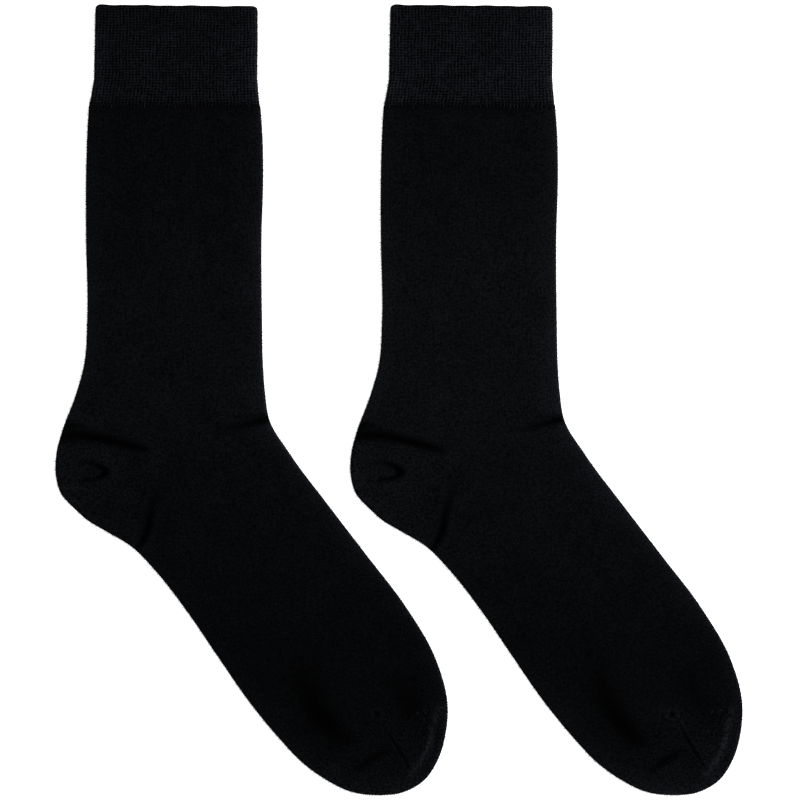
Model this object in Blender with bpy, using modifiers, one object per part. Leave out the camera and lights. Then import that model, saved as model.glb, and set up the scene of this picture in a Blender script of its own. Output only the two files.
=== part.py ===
"""A pair of knitted dress socks that lie flat, side by side, with both toes to the right.

Blender 4.5, metres, +Z up. The socks lie on z = 0 with their cuffs towards +Y.
Sizes below are in millimetres, and MM turns them into metres. Each sock is worked out in its own frame:
its origin is the turn, the corner at the side of the ankle where leg, heel and foot meet.
"""

from collections import namedtuple
from math import pi

import bpy
import numpy as np

MM = 0.001

# Sizes of the pair
PITCH = 156.4          # from a point of the left sock to the same point of the right one
SEAM_GAP = 0.3         # between two pieces of one sock

# Cloth and heights, measured up from the surface that the socks lie on
CLOTH_WALL = 1.0       # plain knit of leg and foot
TURNED_WALL = 1.1      # plated knit of heel and toe
CUFF_WALL = 1.4        # rib welt, which is turned over and so is double
LAID_HEIGHT = 3.0      # both panels of the tube, lying on each other
CUFF_HEIGHT = 3.9      # both panels of the doubled welt
HEEL_PUFF = 0.8        # how much higher the heel pocket stands along its fold
TOE_PUFF = 0.5
APEX_CUT = 1.5         # the fan of a pocket stops this far from its corner point

# How finely the forms are divided
HALF_PANEL_STEPS = 6   # from a fold to the side point, on one panel
FOLD_STEPS = 6         # round a fold
LEG_RINGS = 13
FOOT_RINGS = 16
POCKET_RAYS = 19
RAY_STEPS = 5
CUFF_RIM_STEPS = 4

# A section crosses the tube from its back (or sole) fold, over its side point, to its front (or instep) fold.
Section = namedtuple("Section", "back_x back_y side_x side_y front_x front_y")

LEG_SECTIONS = (                                            # from the welt down to the ankle
    Section(-35.1, 187.5, 10.0, 187.5, 55.5, 187.5),
    Section(-35.9, 174.0, 10.0, 174.0, 56.5, 174.0),
    Section(-36.6, 151.0, 10.0, 151.0, 57.0, 151.0),
    Section(-36.6, 116.6, 9.8, 116.6, 56.1, 116.6),
    Section(-36.0, 74.2, 10.2, 74.2, 56.4, 74.2),
    Section(-37.7, 50.0, 9.2, 49.0, 56.9, 50.0),
    Section(-42.7, 32.3, 4.4, 26.0, 58.0, 35.0),
    Section(-49.3, 14.8, 0.0, 0.0, 60.2, 21.2),             # heel's first course, and the ankle's bend
)
FOOT_SECTIONS = (                                           # from the ankle to the first toe course
    Section(-12.2, -46.6, 0.0, 0.0, 60.2, 21.2),            # heel's last course
    Section(0.0, -59.0, 18.0, -20.0, 71.1, 2.9),
    Section(16.4, -80.0, 45.0, -47.0, 90.4, -23.0),
    Section(33.0, -104.3, 70.0, -76.0, 112.2, -51.4),
    Section(49.8, -128.5, 91.0, -102.5, 133.8, -80.0),
    Section(65.6, -147.8, 106.5, -121.0, 148.7, -106.4),
    Section(79.0, -161.7, 117.6, -135.0, 154.9, -131.2),
)

# Where the fold of a pocket runs, between the two courses that it is knitted onto
FoldPoint = namedtuple("FoldPoint", "x y")

HEEL_FOLD = (                                               # down the back of the heel, and under it
    FoldPoint(-49.3, 14.8),
    FoldPoint(-52.3, 3.0),
    FoldPoint(-52.7, -7.5),
    FoldPoint(-50.2, -17.5),
    FoldPoint(-42.3, -26.5),
    FoldPoint(-35.8, -32.3),
    FoldPoint(-27.1, -37.5),
    FoldPoint(-12.2, -46.6),
)
TOE_FOLD = (                                                # from the sole, round the tip, to the instep
    FoldPoint(79.0, -161.7),
    FoldPoint(90.6, -169.9),
    FoldPoint(103.4, -176.1),
    FoldPoint(118.2, -178.1),
    FoldPoint(132.0, -176.3),
    FoldPoint(142.9, -169.8),
    FoldPoint(149.8, -159.2),
    FoldPoint(154.0, -144.5),
    FoldPoint(154.9, -131.2),
)

# The welt, from its foot to the turned edge of its mouth
WeltRow = namedtuple("WeltRow", "y back_x front_x")

WELT_ROWS = (
    WeltRow(187.5, -35.0, 55.3),
    WeltRow(193.3, -33.8, 54.6),
    WeltRow(201.8, -32.4, 54.0),
    WeltRow(222.6, -32.0, 54.2),
    WeltRow(241.2, -31.6, 54.2),
)

# The largest creases of the upper panel. Each is a soft trough between two ends over a middle point.
Crease = namedtuple("Crease", "name from_x from_y mid_x mid_y to_x to_y width depth")

CREASES = (
    Crease("heel's first course", -48.5, 12.7, -28.6, 10.6, -2.3, 5.1, 3.5, 0.50),
    Crease("heel's last course", -9.1, -46.1, -2.5, -33.0, 4.5, -5.1, 3.5, 0.50),
    Crease("bend of the ankle", 59.6, 21.2, 46.4, 18.2, 29.9, 14.4, 3.0, 0.45),
    Crease("ball of the foot", 78.4, -119.3, 86.0, -134.5, 98.6, -148.9, 6.0, 0.45),
)


# Curves and forms ------------------------------------------------------------------------------------

def smooth(points, places, before=None, after=None):
    """Points on a smooth curve through the given ones.

    A place counts spans from the first point. At each point the curve runs as the parabola through it
    and its two neighbours does. before and after are the neighbours past the ends.
    """
    points = np.array(points, float)
    before = 2 * points[0] - points[1] if before is None else np.array(before, float)
    after = 2 * points[-1] - points[-2] if after is None else np.array(after, float)
    row = np.vstack([before, points, after])
    steps = np.diff(row, axis=0)
    length = np.linalg.norm(steps, axis=1)[:, None]
    slope = steps / length
    slope = (slope[:-1] * length[1:] + slope[1:] * length[:-1]) / (length[:-1] + length[1:])
    places = np.asarray(places, float)
    span = np.minimum(places.astype(int), len(points) - 2)
    t = (places - span)[:, None]
    reach = length[1:-1][span]
    return (points[span] * (1 + 2 * t) * (1 - t) ** 2 + slope[span] * reach * t * (1 - t) ** 2
            + points[span + 1] * t * t * (3 - 2 * t) - slope[span + 1] * reach * t * t * (1 - t))


def columns(sections, name):
    """One point of every section, as an array of x and y: its back, side or front."""
    return np.array([(getattr(s, name + "_x"), getattr(s, name + "_y")) for s in sections])


def crease_depth(x, y):
    """How far the upper panel dips at each point: across a crease a bell, along it a fade to both ends."""
    dip = np.zeros_like(x)
    for crease in CREASES:
        ends = np.array([(crease.from_x, crease.from_y), (crease.mid_x, crease.mid_y),
                         (crease.to_x, crease.to_y)])
        lengths = np.linalg.norm(np.diff(ends, axis=0), axis=1)
        nearest = np.full_like(x, np.inf)
        place = np.zeros_like(x)
        for part, (start, end) in enumerate(zip(ends[:-1], ends[1:])):
            run = (end - start) / lengths[part]
            along = np.clip((x - start[0]) * run[0] + (y - start[1]) * run[1], 0, lengths[part])
            distance = np.hypot(x - start[0] - along * run[0], y - start[1] - along * run[1])
            closer = distance < nearest
            nearest = np.where(closer, distance, nearest)
            place = np.where(closer, (along + lengths[:part].sum()) / lengths.sum(), place)
        dip += crease.depth * np.exp(-(nearest / crease.width) ** 2) * np.sqrt(np.sin(pi * place))
    return dip


def fold_arc(centre, outward, height):
    """Points round a fold from the lower panel to the upper one, without its two ends."""
    angle = np.linspace(-pi / 2, pi / 2, FOLD_STEPS + 1)[1:-1, None]
    flat = centre + outward * np.cos(angle) * height / 2
    return np.hstack([flat, height / 2 * (1 + np.sin(angle))])


def ring(back, side, front, height, lift=0.0, inset=0.0):
    """Points all round one section: lower panel, back fold, upper panel, front fold."""
    radius = height / 2
    to_back = (back - side) / np.linalg.norm(back - side)
    to_front = (front - side) / np.linalg.norm(front - side)
    back_centre = back - to_back * (radius + inset)
    front_centre = front - to_front * (radius + inset)
    share = np.linspace(0, 1, HALF_PANEL_STEPS + 1)[:, None]
    panel = np.vstack([back_centre + (side - back_centre) * share,
                       (side + (front_centre - side) * share)[1:]])
    lower = np.hstack([panel[::-1], np.zeros((len(panel), 1))])
    upper = np.hstack([panel, np.full((len(panel), 1), height)])
    loop = np.vstack([lower, fold_arc(back_centre, to_back, height), upper,
                      fold_arc(front_centre, to_front, height)[::-1]])
    loop[:, 2] += lift
    return loop


def press_creases(points):
    """Lowers the points of the upper panel into the creases, and leaves the lower half flat."""
    upper = points[..., 2] > LAID_HEIGHT / 2
    share = np.where(upper, (points[..., 2] - LAID_HEIGHT / 2) / (LAID_HEIGHT / 2), 0.0)
    points[..., 2] -= crease_depth(points[..., 0], points[..., 1]) * np.minimum(share, 1.0)
    return points


def set_back(rows, closed):
    """Moves the first and last rows inwards by half a seam's gap, square to the row and in the surface."""
    for edge, inner in ((0, 1), (-1, -2)):
        row = rows[edge]
        if closed:
            run = np.roll(row, -1, axis=0) - np.roll(row, 1, axis=0)
        else:
            run = np.gradient(row, axis=0)
        run /= np.linalg.norm(run, axis=1)[:, None]
        step = rows[inner] - row
        step -= run * np.sum(step * run, axis=1)[:, None]
        rows[edge] = row + step * (SEAM_GAP / 2 / np.linalg.norm(step, axis=1)[:, None])
    return rows


# Pieces of one sock ----------------------------------------------------------------------------------

def tube(sections, rings, above, below):
    """Rings of a flat tube through its sections. above and below continue its two folds."""
    places = np.linspace(0, len(sections) - 1, rings)
    back = smooth(columns(sections, "back"), places, above[0], below[0])
    side = smooth(columns(sections, "side"), places)
    front = smooth(columns(sections, "front"), places, above[1], below[1])
    rows = np.array([ring(b, s, f, LAID_HEIGHT) for b, s, f in zip(back, side, front)])
    return set_back(press_creases(rows), closed=True)


def pocket(corner, fold, before, after, puff):
    """Rays of a pocket from its corner point to its fold, first on the lower panel, then on the upper.

    The fold stands puff higher in the middle of the pocket than at its two ends.
    """
    turn = np.linspace(0, 1, POCKET_RAYS)
    outline = smooth(fold, turn * (len(fold) - 1), before, after)
    share = np.linspace(0, 1, RAY_STEPS + 1)[:, None]
    rays = []
    for place, edge in zip(turn, outline):
        height = LAID_HEIGHT + puff * np.sin(pi * place)
        reach = np.linalg.norm(edge - corner)
        outward = (edge - corner) / reach
        flat = corner + outward * (APEX_CUT + (reach - height / 2 - APEX_CUT) * share)
        lower = np.hstack([flat, np.zeros_like(share)])
        upper = np.hstack([flat, LAID_HEIGHT + (height - LAID_HEIGHT) * share])
        rays.append(np.vstack([lower, fold_arc(flat[-1], outward, height), upper[::-1]]))
    return set_back(press_creases(np.array(rays)), closed=False)


def welt():
    """Loops of the cuff's wall: up its inner face, over the round mouth edge and down its outer face."""
    heights = [row.y for row in WELT_ROWS]
    foot = WELT_ROWS[0].y + SEAM_GAP / 2
    radius = CUFF_WALL / 2
    rim = WELT_ROWS[-1].y - radius
    round_edge = np.linspace(0, pi, CUFF_RIM_STEPS + 1)
    levels = [foot] + [row.y for row in WELT_ROWS[1:-1]]
    profile = [(0.0, y) for y in levels]
    profile += [(radius * (1 - np.cos(a)), rim + radius * np.sin(a)) for a in round_edge]
    profile += [(CUFF_WALL, y) for y in levels[::-1]]
    loops = []
    for inset, y in profile:
        back_x = np.interp(y, heights, [row.back_x for row in WELT_ROWS])
        front_x = np.interp(y, heights, [row.front_x for row in WELT_ROWS])
        back, front = np.array((back_x, y)), np.array((front_x, y))
        loops.append(ring(back, (back + front) / 2, front, CUFF_HEIGHT - 2 * inset, inset, inset))
    return np.array(loops[::-1])


def sock_forms():
    """The rows of points of each piece, and whether its columns and its rows close into a loop."""
    leg_back, leg_front = columns(LEG_SECTIONS, "back"), columns(LEG_SECTIONS, "front")
    foot_back, foot_front = columns(FOOT_SECTIONS, "back"), columns(FOOT_SECTIONS, "front")
    turn = columns(LEG_SECTIONS, "side")[-1]
    toe_corner = columns(FOOT_SECTIONS, "side")[-1]
    leg = tube(LEG_SECTIONS, LEG_RINGS, (None, None), (HEEL_FOLD[1], foot_front[1]))
    foot = tube(FOOT_SECTIONS, FOOT_RINGS, (HEEL_FOLD[-2], leg_front[-2]), (TOE_FOLD[1], TOE_FOLD[-2]))
    heel = pocket(turn, HEEL_FOLD, leg_back[-2], foot_back[1], HEEL_PUFF)
    toe = pocket(toe_corner, TOE_FOLD, foot_back[-2], foot_front[-2], TOE_PUFF)
    return {
        "cuff": (welt(), True, True),
        "leg": (leg, True, False),
        "heel": (heel, False, False),
        "foot": (foot, True, False),
        "toe": (toe, False, False),
    }


# Blender objects -------------------------------------------------------------------------------------

def cloth_material(name, colour, roughness):
    """A dull knitted cloth."""
    material = bpy.data.materials.new(name)
    material.use_nodes = True
    shader = material.node_tree.nodes["Principled BSDF"]
    shader.inputs["Base Color"].default_value = (*colour, 1)
    shader.inputs["Roughness"].default_value = roughness
    shader.inputs["Metallic"].default_value = 0
    return material


def skin(name, rows, closed_columns, closed_rows):
    """A mesh of quads between neighbouring rows of points."""
    count, across = rows.shape[:2]
    index = np.arange(count * across).reshape(count, across)
    if closed_rows:
        index = np.vstack([index, index[:1]])
    if closed_columns:
        index = np.hstack([index, index[:, :1]])
    quads = np.stack([index[:-1, :-1], index[1:, :-1], index[1:, 1:], index[:-1, 1:]], axis=-1)
    mesh = bpy.data.meshes.new(name)
    mesh.from_pydata((rows.reshape(-1, 3) * MM).tolist(), [], quads.reshape(-1, 4).tolist())
    mesh.update()
    mesh.shade_smooth()
    return mesh


def add_wall(piece, thickness):
    """Gives an open surface its wall, on the inside."""
    wall = piece.modifiers.new("Wall", "SOLIDIFY")
    wall.thickness = thickness * MM
    wall.offset = -1
    wall.use_even_offset = True


def main():
    for old in list(bpy.data.objects):
        bpy.data.objects.remove(old)
    pair = bpy.data.collections.new("Pair of socks")
    bpy.context.scene.collection.children.link(pair)

    plain_knit = cloth_material("Plain knit", (0.0090, 0.0100, 0.0125), 0.9)
    turned_knit = cloth_material("Plated knit", (0.0080, 0.0090, 0.0110), 0.9)
    rib_knit = cloth_material("Rib knit", (0.0110, 0.0120, 0.0145), 0.95)
    finish = {"cuff": rib_knit, "leg": plain_knit, "heel": turned_knit, "foot": plain_knit,
              "toe": turned_knit}
    wall = {"leg": CLOTH_WALL, "heel": TURNED_WALL, "foot": CLOTH_WALL, "toe": TURNED_WALL}

    forms = sock_forms()
    points = np.vstack([rows.reshape(-1, 3) for rows, _, _ in forms.values()])
    middle = (points.min(axis=0) + points.max(axis=0)) / 2
    for piece_name, (rows, closed_columns, closed_rows) in forms.items():
        mesh = skin(piece_name, rows, closed_columns, closed_rows)
        mesh.materials.append(finish[piece_name])
        for side, place in (("left", -PITCH / 2), ("right", PITCH / 2)):
            piece = bpy.data.objects.new(f"{side}_{piece_name}", mesh)
            piece.location = ((place - middle[0]) * MM, -middle[1] * MM, 0)
            pair.objects.link(piece)
            if piece_name in wall:
                add_wall(piece, wall[piece_name])


main()
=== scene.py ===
# %% [markdown]
# # A pair of knitted dress socks, laid flat
#
# Each sock is one knitted tube with two pockets in it, a heel and a toe, and a doubled rib cuff on top.
# Nothing stuffs it, so it is modelled as thin cloth: an upper panel lying on a lower one, with a fold on
# each side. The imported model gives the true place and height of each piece. This script adds what the eye
# sees: creases, ribs, stitches, nap and the dull black yarn.

# %% Load the frame
from collections import namedtuple
from math import pi

import bmesh
import bpy
import numpy as np
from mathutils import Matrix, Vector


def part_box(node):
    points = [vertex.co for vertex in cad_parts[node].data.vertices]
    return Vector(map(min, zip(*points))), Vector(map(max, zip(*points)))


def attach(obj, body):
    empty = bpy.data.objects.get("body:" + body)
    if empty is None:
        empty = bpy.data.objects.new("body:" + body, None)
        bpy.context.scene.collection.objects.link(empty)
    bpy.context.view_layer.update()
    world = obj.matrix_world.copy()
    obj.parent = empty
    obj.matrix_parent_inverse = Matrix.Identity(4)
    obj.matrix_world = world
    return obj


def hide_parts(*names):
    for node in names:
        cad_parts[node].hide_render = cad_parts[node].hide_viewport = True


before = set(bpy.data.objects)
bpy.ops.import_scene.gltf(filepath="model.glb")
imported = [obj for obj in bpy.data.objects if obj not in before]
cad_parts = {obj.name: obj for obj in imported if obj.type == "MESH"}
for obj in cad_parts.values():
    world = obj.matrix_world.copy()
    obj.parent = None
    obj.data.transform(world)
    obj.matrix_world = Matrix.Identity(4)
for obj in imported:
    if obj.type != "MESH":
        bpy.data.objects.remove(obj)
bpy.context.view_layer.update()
MM = 0.001                     # lengths below are in millimetres
SIDES = ("left", "right")

# %% [markdown]
# ## Cloth as a grid of points
#
# Every surface here is a grid: one parameter runs along the sock, the other across it. numpy works out all
# the points at once, and one function turns a grid into a mesh of quads. A grid may close on itself both
# ways. A tube of cloth with a wall does: its columns close round the leg, and its rows run down the outer
# face, over the rim and back up the inner face.

# %% From a grid to a mesh
SHARP_ANGLE = 1.3              # in radians: an edge whose faces turn more than this looks sharp
ONE_PLACE = 1e-7               # in metres: points nearer to each other than this are one


def unit(vectors):
    """Each vector divided by its own length."""
    return vectors / np.linalg.norm(vectors, axis=-1, keepdims=True)


def wrap(grid, rows, columns):
    """The grid with its first row, and its first column, repeated at the end where it closes there."""
    grid = np.concatenate([grid, grid[:1]]) if rows else grid
    return np.concatenate([grid, grid[:, :1]], axis=1) if columns else grid


def skin(name, points, uv, tone, closed_rows, closed_columns):
    """A mesh of quads between neighbouring grid points.

    uv has the size of the closed grid, so that a pattern doesn't run backwards across its last cell.
    tone is how light the cloth is drawn at each point, with painted light and shade in it, and the materials
    read it as an attribute.
    """
    numbers = wrap(np.arange(points[..., 0].size).reshape(points.shape[:2]), closed_rows, closed_columns)
    here, beyond = slice(None, -1), slice(1, None)
    corners = ((here, here), (beyond, here), (beyond, beyond), (here, beyond))
    quads = np.stack([numbers[c] for c in corners], axis=-1).reshape(-1, 4)
    mesh = bpy.data.meshes.new(name)
    mesh.from_pydata((points.reshape(-1, 3) * MM).tolist(), [], quads.tolist())
    layer = mesh.uv_layers.new(name="knit")
    layer.data.foreach_set("uv", np.stack([uv[c] for c in corners], axis=-2).astype("f").ravel())
    shade = mesh.attributes.new("tone", "FLOAT", "POINT")
    shade.data.foreach_set("value", tone.astype("f").ravel())
    if not closed_columns:
        close_poles(mesh)
    mesh.shade_smooth()
    mesh.set_sharp_from_angle(angle=SHARP_ANGLE)
    return mesh


def close_poles(mesh):
    """Joins the points that share one place, as the rays of a fan do at its corner."""
    joined = bmesh.new()
    joined.from_mesh(mesh)
    bmesh.ops.remove_doubles(joined, verts=joined.verts, dist=ONE_PLACE)
    joined.to_mesh(mesh)
    joined.free()


def smooth(points, places, before=None, after=None):
    """Points on a smooth curve through the given ones.

    A place counts spans from the first point. At each point the curve runs as the parabola through it
    and its two neighbours does. before and after are the neighbours past the ends.
    """
    points = np.array(points, float)
    before = 2 * points[0] - points[1] if before is None else np.array(before, float)
    after = 2 * points[-1] - points[-2] if after is None else np.array(after, float)
    steps = np.diff(np.vstack([before, points, after]), axis=0)
    length = np.linalg.norm(steps, axis=1)[:, None]
    slope = steps / length
    slope = (slope[:-1] * length[1:] + slope[1:] * length[:-1]) / (length[:-1] + length[1:])
    span = np.minimum(np.asarray(places, float).astype(int), len(points) - 2)
    t = (places - span)[:, None]
    reach = length[1:-1][span]
    return (points[span] * (1 + 2 * t) * (1 - t) ** 2 + slope[span] * reach * t * (1 - t) ** 2
            + points[span + 1] * t * t * (3 - 2 * t) - slope[span + 1] * reach * t * t * (1 - t))


# %% [markdown]
# ## The outline of one sock
#
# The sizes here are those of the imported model. A section is a line across the sock, from the fold at the
# back or sole, over a point at the side, to the fold at the front or instep. Its origin is the turn, the
# corner at the side of the ankle where leg, heel and foot meet, and +Y runs up to the cuff.

# %% Sections and folds
Section = namedtuple("Section", "back_x back_y side_x side_y front_x front_y")
FoldPoint = namedtuple("FoldPoint", "x y")
WeltRow = namedtuple("WeltRow", "y back_x front_x")

LEG_SECTIONS = (                                            # from the welt down to the ankle
    Section(-35.1, 187.5, 10.0, 187.5, 55.5, 187.5),
    Section(-35.9, 174.0, 10.0, 174.0, 56.5, 174.0),
    Section(-36.6, 151.0, 10.0, 151.0, 57.0, 151.0),
    Section(-36.6, 116.6, 9.8, 116.6, 56.1, 116.6),
    Section(-36.0, 74.2, 10.2, 74.2, 56.4, 74.2),
    Section(-37.7, 50.0, 9.2, 49.0, 56.9, 50.0),
    Section(-42.7, 32.3, 4.4, 26.0, 58.0, 35.0),
    Section(-49.3, 14.8, 0.0, 0.0, 60.2, 21.2),             # heel's first course, and the ankle's bend
)
FOOT_SECTIONS = (                                           # from the ankle to the first toe course
    Section(-12.2, -46.6, 0.0, 0.0, 60.2, 21.2),            # heel's last course
    Section(0.0, -59.0, 18.0, -20.0, 71.1, 2.9),
    Section(16.4, -80.0, 45.0, -47.0, 90.4, -23.0),
    Section(33.0, -104.3, 70.0, -76.0, 112.2, -51.4),
    Section(49.8, -128.5, 91.0, -102.5, 133.8, -80.0),
    Section(65.6, -147.8, 106.5, -121.0, 148.7, -106.4),
    Section(79.0, -161.7, 117.6, -135.0, 154.9, -131.2),
)
HEEL_FOLD = (                                               # down the back of the heel, and under it
    FoldPoint(-49.3, 14.8),
    FoldPoint(-52.3, 3.0),
    FoldPoint(-52.7, -7.5),
    FoldPoint(-50.2, -17.5),
    FoldPoint(-42.3, -26.5),
    FoldPoint(-35.8, -32.3),
    FoldPoint(-27.1, -37.5),
    FoldPoint(-12.2, -46.6),
)
TOE_FOLD = (                                                # from the sole, round the tip, to the instep
    FoldPoint(79.0, -161.7),
    FoldPoint(90.6, -169.9),
    FoldPoint(103.4, -176.1),
    FoldPoint(118.2, -178.1),
    FoldPoint(132.0, -176.3),
    FoldPoint(142.9, -169.8),
    FoldPoint(149.8, -159.2),
    FoldPoint(154.0, -144.5),
    FoldPoint(154.9, -131.2),
)
WELT_ROWS = (                                               # from its foot to the edge of its mouth
    WeltRow(187.5, -35.0, 55.3),
    WeltRow(193.3, -33.8, 54.6),
    WeltRow(201.8, -32.4, 54.0),
    WeltRow(222.6, -32.0, 54.2),
    WeltRow(241.2, -31.6, 54.2),
)


def points_of(sections, name):
    """One point of every section, as an array of x and y: its back, side or front."""
    return np.array([(getattr(s, name + "_x"), getattr(s, name + "_y")) for s in sections])


def curve_places(points, count):
    """Evenly spread places along a row of points."""
    return np.linspace(0, len(points) - 1, count)


leg_back, leg_side, leg_front = (points_of(LEG_SECTIONS, n) for n in ("back", "side", "front"))
foot_back, foot_side, foot_front = (points_of(FOOT_SECTIONS, n) for n in ("back", "side", "front"))
TURN, TOE_CORNER = leg_side[-1], foot_side[-1]


def heel_outline(count):
    """The heel's fold, as points."""
    return smooth(HEEL_FOLD, curve_places(HEEL_FOLD, count), leg_back[-2], foot_back[1])


def toe_outline(count):
    """The toe's fold, as points."""
    return smooth(TOE_FOLD, curve_places(TOE_FOLD, count), foot_back[-2], foot_front[-2])


# %% [markdown]
# ## Where each sock lies
#
# The two socks are alike, so every shape is worked out once, round the turn. Each sock then moves it to its
# own place as it is built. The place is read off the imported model, so nothing has to be fitted by eye.

# %% Where each sock lies
OUTLINE_POINTS = 200           # enough to find how far out the heel reaches


def sock_origin(side):
    """The turn's place in the frame: the heel's box gives x, and the edge of the mouth gives y."""
    heel_low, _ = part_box(f"{side}_heel")
    _, cuff_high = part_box(f"{side}_cuff")
    heel_back = heel_outline(OUTLINE_POINTS)[:, 0].min()
    return np.array([heel_low[0] / MM - heel_back, cuff_high[1] / MM - WELT_ROWS[-1].y, 0])


ORIGINS = {side: sock_origin(side) for side in SIDES}
print("turn of each sock, mm:", {side: place.round(2).tolist() for side, place in ORIGINS.items()})

# %% [markdown]
# ## Creases
#
# A sock that has been worn on a form and pressed flat keeps a few creases: along the heel's two seams,
# across the bend of the ankle, and where the ball of the foot tucks in. They could be sculpted, or left to a
# cloth simulation, but a simulation would put them anywhere. So each is a given route, with its own width
# and depth at every point. Across it the cloth dips as a bell curve, with slight lips beside it.

# %% Routes of the creases
RoutePoint = namedtuple("RoutePoint", "x y width depth")    # width is half the dip's; a ridge has depth < 0


def routes(*tables):
    """Each table of rows as a route, a list of named points."""
    return [[RoutePoint(*row) for row in table] for table in tables]


TOP_CREASES = routes(
    # the heel's first course, from the fold to near the turn
    [(-51.0, 12.0, 3.0, 1.2), (-41.3, 12.6, 2.4, 1.3), (-28.6, 10.6, 2.0, 1.4), (-15.9, 7.6, 1.8, 1.4),
     (-7.0, 5.4, 1.5, 1.1), (-2.3, 4.4, 1.0, 0.0)],
    # a short one above it, at the fold
    [(-49.3, 17.8, 1.9, 1.1), (-43.0, 18.2, 1.7, 0.8), (-35.1, 15.6, 1.4, 0.0)],
    # the heel's last course, from the fold up towards the turn
    [(-10.4, -48.0, 1.3, 0.8), (-6.6, -42.5, 1.5, 1.2), (-4.4, -37.0, 1.7, 1.4), (-3.0, -28.0, 1.7, 0.9),
     (1.4, -15.0, 2.6, 0.35), (4.5, -5.1, 3.0, 0.0)],
    # a slight one inside the heel
    [(-9.6, -26.0, 1.0, 0.0), (-7.4, -20.0, 1.1, 0.3), (-4.6, -13.0, 1.0, 0.0)],
    # the bend of the ankle, from the front fold inwards
    [(61.0, 21.4, 1.8, 1.1), (55.0, 20.2, 1.7, 1.3), (46.4, 17.8, 1.5, 0.9), (38.0, 16.2, 1.5, 0.5),
     (29.9, 14.4, 1.4, 0.0)],
    # a faint one above it
    [(61.0, 24.0, 1.0, 0.5), (50.0, 22.6, 1.0, 0.4), (36.0, 21.8, 1.0, 0.0)],
    # the hooked dent in the middle of the heel
    [(-43.6, -2.6, 0.9, 0.0), (-36.0, -2.4, 1.0, 0.7), (-30.3, -3.8, 1.2, 1.2), (-26.8, -7.0, 1.8, 1.7),
     (-29.2, -9.2, 1.2, 1.2), (-32.9, -10.6, 1.0, 1.0), (-38.2, -11.6, 1.0, 0.9),
     (-39.6, -14.6, 0.9, 0.0)],
    # the ball of the foot, where the cloth tucks in
    [(73.5, -104.0, 5.0, 0.0), (78.4, -119.3, 5.0, 0.5), (84.3, -132.0, 4.6, 0.9),
     (90.6, -141.0, 4.4, 1.1), (98.6, -148.6, 4.0, 0.9), (108.0, -151.5, 3.6, 0.0)],
    # the broad hollow round that
    [(70.0, -94.0, 10.0, 0.0), (76.0, -116.0, 9.0, 0.3), (88.0, -140.0, 9.0, 0.35),
     (108.0, -153.0, 7.0, 0.0)],
    # the toe, from the sole's side inwards
    [(103.5, -166.6, 1.0, 0.0), (106.3, -164.6, 1.3, 0.6), (113.0, -160.0, 1.8, 1.1),
     (119.7, -156.0, 1.8, 0.9), (127.0, -153.8, 1.2, 0.0)],
    # the toe's gore line
    [(121.0, -141.5, 0.7, 0.0), (124.8, -147.8, 0.8, 0.7), (130.0, -156.0, 0.8, 0.8),
     (134.9, -164.3, 0.7, 0.2)],
    # the ridge along the end of the toe, where the seam lies underneath
    [(150.5, -128.0, 1.8, 0.0), (148.9, -133.6, 1.8, -0.6), (146.3, -141.0, 1.7, -1.0),
     (144.0, -151.6, 1.7, -1.2), (139.4, -160.5, 1.7, -1.0), (130.5, -171.0, 1.6, 0.0)],
    # the shallow hollow beside the toe's corner
    [(118.0, -108.0, 6.5, 0.0), (128.0, -121.0, 7.5, 0.5), (136.0, -132.0, 5.5, 0.6),
     (139.0, -150.0, 3.0, 0.0)],
)
UNDER_CREASES = routes(
    # the heel's first course
    [(-48.0, 13.6, 1.6, 0.3), (-30.0, 8.4, 1.8, 0.4), (-6.0, 2.4, 1.0, 0.0)],
    # the heel's last course
    [(-10.5, -46.0, 1.4, 0.4), (-5.6, -27.0, 1.6, 0.6), (-1.0, -9.0, 1.5, 0.0)],
    # the bend of the ankle
    [(60.0, 21.6, 1.3, 0.4), (47.0, 19.6, 1.3, 0.5), (27.0, 12.0, 1.4, 0.0)],
    # the ball of the foot
    [(70.0, -112.0, 3.0, 0.0), (83.0, -129.0, 3.2, 0.6), (101.0, -146.0, 3.0, 0.0)],
    # the toe
    [(108.0, -166.0, 1.0, 0.0), (118.0, -159.0, 1.2, 0.6), (126.0, -156.0, 1.0, 0.0)],
    # the toe's gore line
    [(117.6, -135.0, 0.7, 0.3), (134.9, -164.3, 0.7, 0.3)],
)
LIP = 0.28                     # height of a crease's lips, as a share of its depth
LIP_PLACE = 2.1                # how far out the lips are, in widths of the crease
DIP_SPREAD = 1.25              # a crease's shade is this much wider than its dip
ROUTE_STEP = 0.6               # between the points that a route is read at
ROUTE_REACH = 14.0             # past this the cloth doesn't feel a crease


def read_route(route):
    """A route as x, y, width and depth, at points ROUTE_STEP apart on a smooth curve."""
    xy = np.array([(p.x, p.y) for p in route])
    count = int(np.linalg.norm(np.diff(xy, axis=0), axis=1).sum() / ROUTE_STEP) + 2
    places = curve_places(route, count)
    width, depth = (np.interp(places, np.arange(len(route)), values)
                    for values in ([p.width for p in route], [p.depth for p in route]))
    return np.column_stack([smooth(xy, places), width, depth])


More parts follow.
